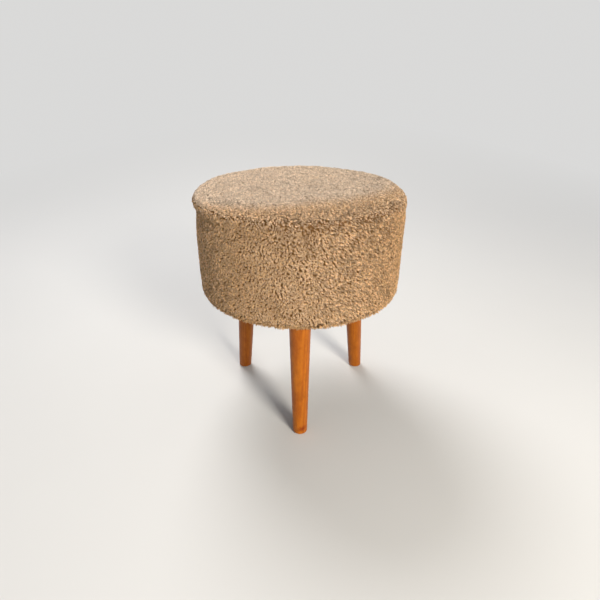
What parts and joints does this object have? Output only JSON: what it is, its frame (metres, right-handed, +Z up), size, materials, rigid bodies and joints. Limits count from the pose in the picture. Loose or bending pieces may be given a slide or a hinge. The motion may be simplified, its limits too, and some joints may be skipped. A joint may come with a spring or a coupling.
{
  "type": "pouf",
  "caption": "Round upholstered pouf: a plush-covered drum with a crowned seat, standing on splayed tapered wooden legs that screw into plates under its base.",
  "frame": {"origin": "on the floor, under the middle of the seat", "axes": "+Z up; -Y towards the front leg, +X to the right as seen from the front"},
  "size_m": [0.3628, 0.3628, 0.417],
  "materials": {
    "plush": "tan short-pile plush, tufted, matte",
    "stained_wood": "orange-brown stain under satin varnish",
    "pine": "sawn",
    "plywood": "raw",
    "hardboard": "smooth",
    "foam": "open-cell",
    "wadding": "matte",
    "thread": "twisted",
    "dust_cloth": "black nonwoven",
    "zinc_steel": "bright zinc",
    "felt": "pressed felt"
  },
  "bodies": {
    "drum": {"cover_top": "plush", "cover_band": "plush", "rim_stitching": "thread", "seat_wadding": "wadding", "seat_foam": "foam", "side_foam": "foam", "drum_wall": "hardboard", "seat_board": "plywood", "base_board": "plywood", "dust_cover": "dust_cloth", "post_1": "pine", "post_2": "pine", "post_3": "pine", "post_4": "pine", "post_5": "pine", "post_6": "pine", "post_screw_lower_1": "zinc_steel", "post_screw_lower_2": "zinc_steel", "post_screw_lower_3": "zinc_steel", "post_screw_lower_4": "zinc_steel", "post_screw_lower_5": "zinc_steel", "post_screw_lower_6": "zinc_steel", "post_screw_upper_1": "zinc_steel", "post_screw_upper_2": "zinc_steel", "post_screw_upper_3": "zinc_steel", "post_screw_upper_4": "zinc_steel", "post_screw_upper_5": "zinc_steel", "post_screw_upper_6": "zinc_steel", "leg_plate_front": "zinc_steel", "leg_plate_rear_right": "zinc_steel", "leg_plate_rear_left": "zinc_steel", "plate_screw_front_1": "zinc_steel", "plate_screw_front_2": "zinc_steel", "plate_screw_front_3": "zinc_steel", "plate_screw_front_4": "zinc_steel", "plate_screw_rear_right_1": "zinc_steel", "plate_screw_rear_right_2": "zinc_steel", "plate_screw_rear_right_3": "zinc_steel", "plate_screw_rear_right_4": "zinc_steel", "plate_screw_rear_left_1": "zinc_steel", "plate_screw_rear_left_2": "zinc_steel", "plate_screw_rear_left_3": "zinc_steel", "plate_screw_rear_left_4": "zinc_steel"},
    "washer_front": {"leg_washer_front": "zinc_steel"},
    "washer_rear_right": {"leg_washer_rear_right": "zinc_steel"},
    "washer_rear_left": {"leg_washer_rear_left": "zinc_steel"},
    "leg_front": {"leg_front": "stained_wood", "hanger_bolt_front": "zinc_steel", "foot_pad_front": "felt"},
    "leg_rear_right": {"leg_rear_right": "stained_wood", "hanger_bolt_rear_right": "zinc_steel", "foot_pad_rear_right": "felt"},
    "leg_rear_left": {"leg_rear_left": "stained_wood", "hanger_bolt_rear_left": "zinc_steel", "foot_pad_rear_left": "felt"}
  },
  "joints": [
    {"name": "leg_front_travel", "type": "slide", "parent": "drum", "child": "washer_front", "axis": [0, -0.0818, -0.9967], "range_m": [0, 0.0152]},
    {"name": "leg_front_turn", "type": "hinge", "parent": "washer_front", "child": "leg_front", "pos_m": [0, -0.12014, 0.23375], "axis": [0, -0.0818, -0.9967], "range_deg": [0, 4320]},
    {"name": "leg_rear_right_travel", "type": "slide", "parent": "drum", "child": "washer_rear_right", "axis": [0.0708, 0.0409, -0.9967], "range_m": [0, 0.0152]},
    {"name": "leg_rear_right_turn", "type": "hinge", "parent": "washer_rear_right", "child": "leg_rear_right", "pos_m": [0.10405, 0.06007, 0.23375], "axis": [0.0708, 0.0409, -0.9967], "range_deg": [0, 4320]},
    {"name": "leg_rear_left_travel", "type": "slide", "parent": "drum", "child": "washer_rear_left", "axis": [-0.0708, 0.0409, -0.9967], "range_m": [0, 0.0152]},
    {"name": "leg_rear_left_turn", "type": "hinge", "parent": "washer_rear_left", "child": "leg_rear_left", "pos_m": [-0.10405, 0.06007, 0.23375], "axis": [-0.0708, 0.0409, -0.9967], "range_deg": [0, 4320]}
  ],
  "couplings": [
    {"joint": "leg_front_travel", "follows": "leg_front_turn", "m_per_rad": 0.00019894},
    {"joint": "leg_rear_right_travel", "follows": "leg_rear_right_turn", "m_per_rad": 0.00019894},
    {"joint": "leg_rear_left_travel", "follows": "leg_rear_left_turn", "m_per_rad": 0.00019894}
  ]
}
